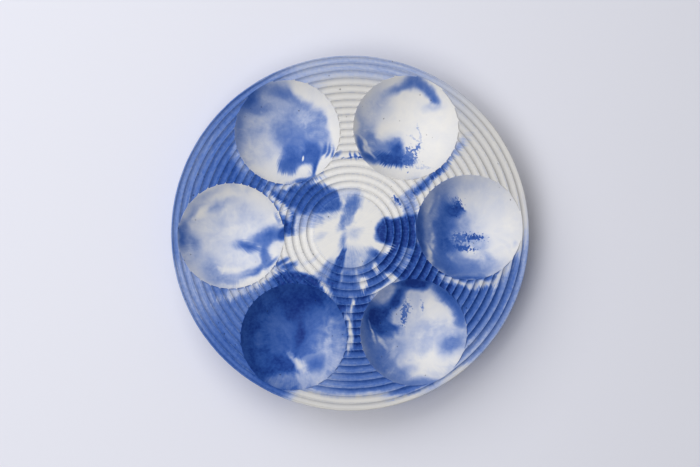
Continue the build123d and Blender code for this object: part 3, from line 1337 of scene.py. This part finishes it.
@dataclass(frozen=True)
class Tooth:
    """The fine tooth of a matte surface.

    Attributes:
        fine: Size of the fine grains, in millimetres.
        broad: Size of the unevenness under them, in millimetres.
        share: How much of the height is fine grain.
        relief: Height of the whole.
        roughness: The middle roughness.
        roughness_range: How far apart the smoothest and the roughest places are.
    """

    fine: float
    broad: float
    share: float
    relief: float
    roughness: float
    roughness_range: float

    def lay(
        self, wiring: Wiring, shader: bpy.types.Node, group: bpy.types.NodeTree, place: Socket
    ) -> tuple[Socket, Socket]:
        """Gives a shader its roughness, and works out what the tooth does to the normal.

        Args:
            wiring: The material's wiring.
            shader: The material's Principled BSDF.
            group: The grain group.
            place: The place in millimetres.

        Returns:
            The tooth's height from 0 to 1, and the normal.
        """
        feeds = {"Place": place, "Fine": self.fine, "Broad": self.broad, "Tooth": self.share}
        height = wiring.use(group, feeds).outputs["Height"]
        smoothest = self.roughness - self.roughness_range / 2
        rough = wiring.math("MULTIPLY_ADD", height, self.roughness_range, smoothest)
        wiring.feed(shader.inputs["Roughness"], rough)
        feeds = {"Strength": 1.0, "Distance": self.relief, "Height": height}
        return height, wiring.add("ShaderNodeBump", feeds).outputs[0]


@dataclass(frozen=True)
class Swirl:
    """One drift of the wet pigment: the size of its eddies and how far they carry it, in millimetres."""

    size: float
    reach: float


@dataclass(frozen=True)
class Wisps:
    """Torn smoke: the size of its clouds in millimetres, and how finely they are torn."""

    size: float
    detail: float
    roughness: float = 0.55

    def lay(self, wiring: Wiring, place: Socket) -> Socket:
        """Adds the smoke to a tree, as a number about zero."""
        probe = wiring.scaled(place, 1 / self.size)
        noise = wiring.noise(probe, detail=self.detail, roughness=self.roughness, flat=True)
        return wiring.centred(noise.outputs[0])


@dataclass(frozen=True)
class CombStroke:
    """Streaks along spokes.

    Attributes:
        fineness: How finely the streaks divide the turn about the spokes' centre.
        length: How far along its spoke a streak runs, in millimetres.
        reach: How far it draws the pigment, in millimetres.
    """

    fineness: float
    length: float
    reach: float

    def lay(self, wiring: Wiring, group: bpy.types.NodeTree, place: Socket, spoke: Socket) -> Sockets:
        """Adds the streaks to a tree.

        Args:
            wiring: The material's wiring.
            group: The comb group.
            place: The place that is drawn about, in millimetres.
            spoke: The way from the spokes' centre to that place.

        Returns:
            The moved Place and the Streak.
        """
        feeds = {
            "Place": place,
            "Spoke": spoke,
            "Fineness": self.fineness,
            "Length": self.length,
            "Reach": self.reach,
        }
        return wiring.use(group, feeds).outputs


@dataclass(frozen=True)
class MarbledCasting:
    """The casting's finish: blue pigment marbled into white, cast matte with a few air holes.

    Sizes of the pattern are in millimetres and angles in degrees.

    Attributes:
        shades: The colour at each tint, from 0 for white to 1 for the deepest blue.
        base_tint: Tint of the casting before any pour.
        smoke_in_streaks: How much smoke frays the combed streaks.
        streaks_in_smoke: How much streaking frays the smoke.
        brushed_radii: Where the streaks start and end to turn into rings that follow the rim.
        crest_wear_and_highlight: How far the flutes' crests go towards their own tint, lighter on deep
            blue, partly wear of the pigment and partly painted highlight.
        pooling_and_shade: How far half mixed pigment ran down in each flute towards the lower right, with
            painted shade on each flute's inner wall and painted highlight on its outer wall;
            least_pooling_and_shade is the least, on any pigment and on bare white.
        flute_margin: How far below the flutes their effects start to fade, and over what height.
        terrace_turn: The most that the pours are turned in one flute.
        streaking: How far the streaks change half mixed pigment, and least_streaking any pigment.
        mottled_tints: Tints between which the mottling grows from none to full.
        painted_shade_radii: Where the painted shade on the bare white starts and ends to deepen towards the
            rim.
        bare_tints: Tints between which the casting counts as less and less bare.
    """

    marbling: Marbling = Marbling()
    shades: tuple[tuple[float, Colour], ...] = (
        (0.00, srgb(229, 227, 224)),
        (0.15, srgb(207, 210, 220)),
        (0.35, srgb(163, 176, 209)),
        (0.55, srgb(112, 136, 190)),
        (0.75, srgb(74, 108, 178)),
        (0.90, srgb(43, 83, 160)),
        (1.00, srgb(12, 48, 126)),
    )
    base_tint: float = 0.02
    smoke_swirls: tuple[Swirl, ...] = (Swirl(size=30.0, reach=2.6), Swirl(size=12.0, reach=1.3))
    calm_swirl: Swirl = Swirl(size=18.0, reach=2.0)
    comb_swirl: Swirl = Swirl(size=14.0, reach=1.2)
    crumb_swirl: Swirl = Swirl(size=8.0, reach=1.5)
    smoke: Wisps = Wisps(size=13.0, detail=2.6)
    crumbs: Wisps = Wisps(size=2.2, detail=3.0)
    spoke_stroke: CombStroke = CombStroke(fineness=32.0, length=22.0, reach=1.0)
    ring_stroke: CombStroke = CombStroke(fineness=7.0, length=1.8, reach=0.0)
    smoke_in_streaks: float = 0.5
    streaks_in_smoke: float = 0.3
    brushed_radii: Point = (105.0, 130.0)
    crest_line: float = 1.1
    crest_wear_and_highlight: float = 0.32
    crest_wear_and_highlight_tint: float = 0.40
    # Pooled pigment and painted shade: the sector where each flute's inner wall is darkened and its outer
    # wall lightened.
    pool_and_shade_angle: float = 298.0
    pool_and_shade_half_angle: float = 66.0
    pooling_and_shade: float = 0.36
    least_pooling_and_shade: float = 0.05
    flute_margin: float = 1.0
    terrace_turn: float = 0.8
    streaking: float = 0.6
    least_streaking: float = 0.05
    mottle: float = 0.30
    bowl_mottle: float = 0.15
    mottle_size: float = 3.0
    mottled_tints: Point = (0.0, 0.4)
    # Painted shade: how much of its brightness the bare white keeps at the rim.
    rim_painted_shade: float = 0.80
    painted_shade_radii: Point = (30.0, 170.0)
    bare_tints: Point = (0.05, 0.45)
    hole_spacing: float = 5.0
    hole_size: float = 0.9
    hole_share: float = 0.12
    hole_painted_shade: float = 0.45
    hole_relief: float = 0.5 * MM
    specular: float = 0.16
    tooth: Tooth = Tooth(
        fine=0.7, broad=8.0, share=0.4, relief=0.12 * MM, roughness=0.58, roughness_range=0.16
    )

    def grounds(
        self, wiring: Wiring, plate: CastPlate, flat: Socket, fluted: Socket, spoke: Socket
    ) -> dict[Edge, Ground]:
        """Moves the flat place about in the ways that the pours' edges run.

        Args:
            wiring: The material's wiring.
            plate: The casting, for its flutes.
            flat: The place seen from above, in millimetres.
            fluted: 1 on the fluted face and 0 below it.
            spoke: The way from the nearest bowl's middle to that place.

        Returns:
            What each kind of edge is drawn on.
        """
        drift, comb, terrace = drift_effect(), comb_effect(), terrace_effect()

        def drifted(place: Socket, *swirls: Swirl) -> Socket:
            """Carries a place about by one swirl after another."""
            for swirl in swirls:
                feeds = {"Place": place, "Size": swirl.size, "Reach": swirl.reach}
                place = wiring.use(drift, feeds).outputs["Place"]
            return place

        def streaked(place: Socket, along: Socket) -> Ground:
            """Draws a place in and out along spokes, and frays it with the same streaks and smoke."""
            drawn = self.spoke_stroke.lay(wiring, comb, drifted(place, self.comb_swirl), along)
            streaks = wiring.centred(drawn["Streak"])
            wisp = wiring.math("MULTIPLY_ADD", smoke, self.smoke_in_streaks, streaks)
            return Ground(drawn["Place"], wisp)

        turn = wiring.math("MULTIPLY", fluted, self.terrace_turn)
        feeds = {"Place": flat, "Turn": turn, **plate.flute_rings()}
        stepped = wiring.use(terrace, feeds).outputs["Place"]
        smoky = drifted(flat, *self.smoke_swirls)
        smoke = self.smoke.lay(wiring, smoky)
        fringed = streaked(flat, spoke)
        combed = streaked(stepped, flat)
        rings = self.ring_stroke.lay(wiring, comb, flat, flat)["Streak"]
        near_rim = wiring.ease(wiring.measure("LENGTH", flat), *self.brushed_radii)
        brushed = wiring.between(near_rim, combed.wisp, wiring.centred(rings))
        streaky_smoke = wiring.math("MULTIPLY_ADD", fringed.wisp, self.streaks_in_smoke, smoke)
        return {
            Edge.PLAIN: Ground(flat, smoke),
            Edge.CALM: Ground(drifted(flat, self.calm_swirl), smoke),
            Edge.SMOKY: Ground(smoky, streaky_smoke),
            Edge.COMBED: Ground(combed.place, brushed),
            Edge.FRINGED: fringed,
            Edge.CRUMBLY: Ground(drifted(flat, self.crumb_swirl), self.crumbs.lay(wiring, flat)),
        }

    def settled(
        self, wiring: Wiring, plate: CastPlate, flat: Socket, fluted: Socket, tint: Socket
    ) -> Socket:
        """Draws the flutes' crests towards their own tint, partly wear and partly painted highlight, and
        darkens each flute's inner side towards the lower right, partly pooled pigment and partly painted
        shade.
            plate: The casting, for its flutes.
            flat: The place seen from above, in millimetres.
            fluted: 1 on the fluted face and 0 below it.
            tint: The tint of the pours on the fluted field.

        Returns:
            The tint as it settled.
        """
        rings = plate.flute_rings()
        feeds = {"Place": flat, "Width": self.crest_line, **rings}
        crests = wiring.use(crest_effect(), feeds).outputs["Mask"]
        # Painted highlight in part: the crests are drawn towards a middle blue, lighter on deep blue,
        # besides the wear of the pigment.
        worn_and_highlit = wiring.math("MULTIPLY", crests, wiring.math("MULTIPLY", fluted, self.crest_wear_and_highlight))
        rubbed_and_highlit = wiring.between(worn_and_highlit, tint, self.crest_wear_and_highlight_tint)
        # Painted shade and highlight in part: towards the lower right each flute's inner wall is darkened
        # and its outer wall lightened, on bare white as well as on pigment.
        sector = {"Middle Angle": self.pool_and_shade_angle, "Half Angle": self.pool_and_shade_half_angle}
        depth = wiring.use(pool_and_shade_effect(), {"Place": flat, **sector, **rings}).outputs["Depth"]
        moved = wiring.math("MULTIPLY_ADD", wiring.half_way(rubbed_and_highlit), self.pooling_and_shade, self.least_pooling_and_shade)
        return wiring.math("MULTIPLY_ADD", depth, wiring.math("MULTIPLY", moved, fluted), rubbed_and_highlit)

    def tint(self, wiring: Wiring, plate: CastPlate, place: Socket, bowl: Sockets) -> Socket:
        """Lays all the pours in order and breaks them up with streaks and fine clouds.

        Args:
            wiring: The material's wiring.
            plate: The casting.
            place: The place in millimetres.
            bowl: The nearest bowl's Spoke and In Bowl.

        Returns:
            The tint, from 0 for white to 1 for the deepest blue.
        """
        flat = wiring.vector("MULTIPLY", place, SEEN_FROM_ABOVE)
        below_flutes = (plate.top - plate.flute_depth) / MM - self.flute_margin
        height = wiring.axes(place)["Z"]
        fluted = wiring.ease(height, below_flutes - self.flute_margin, below_flutes)
        grounds = self.grounds(wiring, plate, flat, fluted, bowl["Spoke"])
        groups = {Pour: pour_effect(), RingPour: ring_pour_effect()}
        tints = []
        for pours in (self.marbling.field_pours, self.marbling.bowl_pours):
            tint: Feed = self.base_tint
            for pour in pours:
                tint = pour.lay(wiring, groups[type(pour)], tint, grounds[pour.edge])
            tints.append(tint)
        on_field, in_bowls = tints
        settled = self.settled(wiring, plate, flat, fluted, on_field)
        marbled = wiring.between(bowl["In Bowl"], settled, in_bowls)
        field_wisp, bowl_wisp = grounds[Edge.COMBED].wisp, grounds[Edge.SMOKY].wisp
        streaks = wiring.between(bowl["In Bowl"], field_wisp, bowl_wisp)
        half_mixed = wiring.half_way(marbled)
        reach = wiring.math("MULTIPLY_ADD", half_mixed, self.streaking, self.least_streaking)
        streaked = wiring.math("MULTIPLY_ADD", streaks, reach, marbled)
        probe = wiring.scaled(place, 1 / self.mottle_size)
        clouds = wiring.noise(probe, detail=3.0, roughness=0.6).outputs[0]
        strength = wiring.between(bowl["In Bowl"], self.mottle, self.bowl_mottle)
        blotches = wiring.math("MULTIPLY", wiring.math("SUBTRACT", clouds, 0.5), strength)
        return wiring.math("MULTIPLY_ADD", blotches, wiring.ease(marbled, *self.mottled_tints), streaked)

    def colour(self, wiring: Wiring, place: Socket, tint: Socket, in_bowl: Socket) -> Socket:
        """Colours the tint, with painted shade on the bare white between the bowls, darker towards the rim.

        Args:
            wiring: The material's wiring.
            place: The place in millimetres.
            tint: The finished tint.
            in_bowl: 1 on a bowl's surface.

        Returns:
            The colour.
        """
        ramp = wiring.add("ShaderNodeValToRGB", {"Fac": tint})
        stops = ramp.color_ramp.elements
        while len(stops) < len(self.shades):
            stops.new(1.0)
        for stop, (position, shade) in zip(stops, self.shades):
            stop.position = position
            stop.color = shade
        # Painted shade: the bare white outside the bowls is darkened more and more towards the rim.
        radius = wiring.measure("LENGTH", place)
        outwards = wiring.ease(radius, *self.painted_shade_radii, 1.0, self.rim_painted_shade)
        covered = wiring.math("MAXIMUM", in_bowl, wiring.ease(tint, *self.bare_tints))
        return wiring.dimmed(ramp.outputs[0], wiring.between(covered, outwards, 1.0))

    def material(self, plate: CastPlate, grain: bpy.types.NodeTree) -> bpy.types.Material:
        """Makes the casting's material.

        Args:
            plate: The casting, for the sizes that the pattern follows.
            grain: The grain group.

        Returns:
            The material.
        """
        finish, wiring, shader, place = open_material("poured_marble")
        bowl = wiring.use(bowl_frame_effect(plate), {"Place": place}).outputs
        tint = self.tint(wiring, plate, place, bowl)
        colour = self.colour(wiring, place, tint, bowl["In Bowl"])
        feeds = {
            "Place": place,
            "Spacing": self.hole_spacing,
            "Size": self.hole_size,
            "Share": self.hole_share,
        }
        holes = wiring.use(pinhole_effect(), feeds).outputs["Mask"]
        # Painted shade: the inside of each air hole is darkened.
        shaded = wiring.dimmed(colour, self.hole_painted_shade)
        wiring.feed(shader.inputs["Base Color"], wiring.tone(holes, colour, shaded))
        _, toothed = self.tooth.lay(wiring, shader, grain, place)
        shader.inputs["Specular IOR Level"].default_value = self.specular
        feeds = {"Strength": 1.0, "Distance": self.hole_relief, "Height": holes, "Normal": toothed}
        wiring.feed(shader.inputs["Normal"], wiring.add("ShaderNodeBump", feeds, invert=True).outputs[0])
        return finish


@dataclass(frozen=True)
class FootRubber:
    """The feet's finish: dull moulded rubber, dusty where its tooth stands high."""

    rubber: Colour = srgb(46, 46, 48)
    dust: Colour = srgb(92, 91, 90)
    dusty_heights: Point = (0.5, 0.72)
    tooth: Tooth = Tooth(
        fine=0.5, broad=4.0, share=0.5, relief=0.08 * MM, roughness=0.72, roughness_range=0.14
    )

    def material(self, grain: bpy.types.NodeTree) -> bpy.types.Material:
        """Makes the feet's material.

        Args:
            grain: The grain group.

        Returns:
            The material.
        """
        finish, wiring, shader, place = open_material("moulded_rubber")
        height, toothed = self.tooth.lay(wiring, shader, grain, place)
        dusty = wiring.ease(height, *self.dusty_heights)
        wiring.feed(shader.inputs["Base Color"], wiring.tone(dusty, self.rubber, self.dust))
        wiring.feed(shader.inputs["Normal"], toothed)
        return finish


def direction(azimuth: float, elevation: float) -> Vector:
    """Points from the plate to where a lamp or the camera stands.

    Args:
        azimuth: Degrees about the Z axis, from +X.
        elevation: Degrees above the floor.

    Returns:
        A vector of length 1.
    """
    turn, rise = math.radians(azimuth), math.radians(elevation)
    flat = Vector((math.cos(turn), math.sin(turn), 0.0)) * math.cos(rise)
    return flat + Vector((0.0, 0.0, math.sin(rise)))


@dataclass(frozen=True)
class SoftLamp:
    """A square soft light that faces the plate, placed by azimuth and elevation in degrees."""

    name: str
    azimuth: float
    elevation: float
    distance: float
    size: float
    power: float

    def build(self, target: Vector) -> None:
        """Adds the light.

        Args:
            target: The point that it faces.
        """
        back = direction(self.azimuth, self.elevation)
        lamp = bpy.data.lights.new(self.name, "AREA")
        lamp.shape = "SQUARE"
        lamp.size = self.size
        lamp.energy = self.power
        holder = bpy.data.objects.new(self.name, lamp)
        holder.location = target + back * self.distance
        holder.rotation_euler = (-back).to_track_quat("-Z", "Y").to_euler()
        bpy.context.scene.collection.objects.link(holder)


@dataclass(frozen=True)
class Studio:
    """The pale floor, the soft lights and the camera above the plate, with angles in degrees."""

    floor_shade: Colour = srgb(226, 227, 237)
    floor_width: float = 12.0
    floor_roughness: float = 0.9
    floor_specular: float = 0.1
    world_shade: Colour = srgb(255, 255, 255)
    world_strength: float = 0.26
    lamps: tuple[SoftLamp, ...] = (
        SoftLamp("key", azimuth=228.0, elevation=62.0, distance=2.2, size=1.2, power=16.0),
        SoftLamp("window", azimuth=132.0, elevation=51.0, distance=1.8, size=1.9, power=25.0),
    )
    camera_azimuth: float = -85.495
    camera_elevation: float = 82.66
    camera_roll: float = -6.545
    camera_distance: float = 2171.2 * MM
    camera_drop: float = 2.0 * MM
    camera_lens: float = 120.0

    def floor(self) -> None:
        """Lays the floor under the feet."""
        deselect_all()
        bpy.ops.mesh.primitive_plane_add(size=self.floor_width)
        floor = bpy.context.object
        floor.name = "floor"
        paint = bpy.data.materials.new("pale_floor")
        paint.use_nodes = True
        shader = paint.node_tree.nodes["Principled BSDF"]
        shader.inputs["Base Color"].default_value = self.floor_shade
        shader.inputs["Roughness"].default_value = self.floor_roughness
        shader.inputs["Specular IOR Level"].default_value = self.floor_specular
        floor.data.materials.append(paint)

    def world(self) -> None:
        """Lights the plate evenly from all round."""
        world = bpy.data.worlds.new("studio")
        world.use_nodes = True
        sky = world.node_tree.nodes["Background"]
        sky.inputs["Color"].default_value = self.world_shade
        sky.inputs["Strength"].default_value = self.world_strength
        bpy.context.scene.world = world

    def camera(self, target: Vector) -> None:
        """Looks down on the plate as the photograph does.

        Args:
            target: The middle of the plate's top.
        """
        back = direction(self.camera_azimuth, self.camera_elevation)
        level = direction(self.camera_azimuth + 90.0, 0.0)
        upright = back.cross(level)
        roll = math.radians(self.camera_roll)
        right = level * math.cos(roll) + upright * math.sin(roll)
        up = upright * math.cos(roll) - level * math.sin(roll)
        lens = bpy.data.cameras.new("camera")
        lens.lens = self.camera_lens
        lens.clip_end = self.floor_width * 2
        camera = bpy.data.objects.new("camera", lens)
        camera.matrix_world = Matrix((right, up, back)).transposed().to_4x4()
        camera.location = target + back * self.camera_distance - up * self.camera_drop
        bpy.context.scene.collection.objects.link(camera)
        bpy.context.scene.camera = camera

    def build(self, target: Vector) -> None:
        """Sets up the whole studio round a point.

        Args:
            target: The middle of the plate's top.
        """
        self.floor()
        self.world()
        for lamp in self.lamps:
            lamp.build(target)
        self.camera(target)
        bpy.context.scene.view_settings.view_transform = "Standard"


def main() -> None:
    """Builds the casting, the feet and the studio."""
    logging.basicConfig(level=logging.INFO, format="%(name)s: %(message)s")
    plate = CastPlate.from_frame()
    casting = plate.build()
    grain = grain_effect()
    dress(casting, MarbledCasting().material(plate, grain), "cast_plate")
    rubber = FootRubber().material(grain)
    for node, foot in RubberFeet.from_frame().build().items():
        dress(foot, rubber, node)
    Studio().build(Vector((0.0, 0.0, plate.top)))


if __name__ == "__main__":
    main()
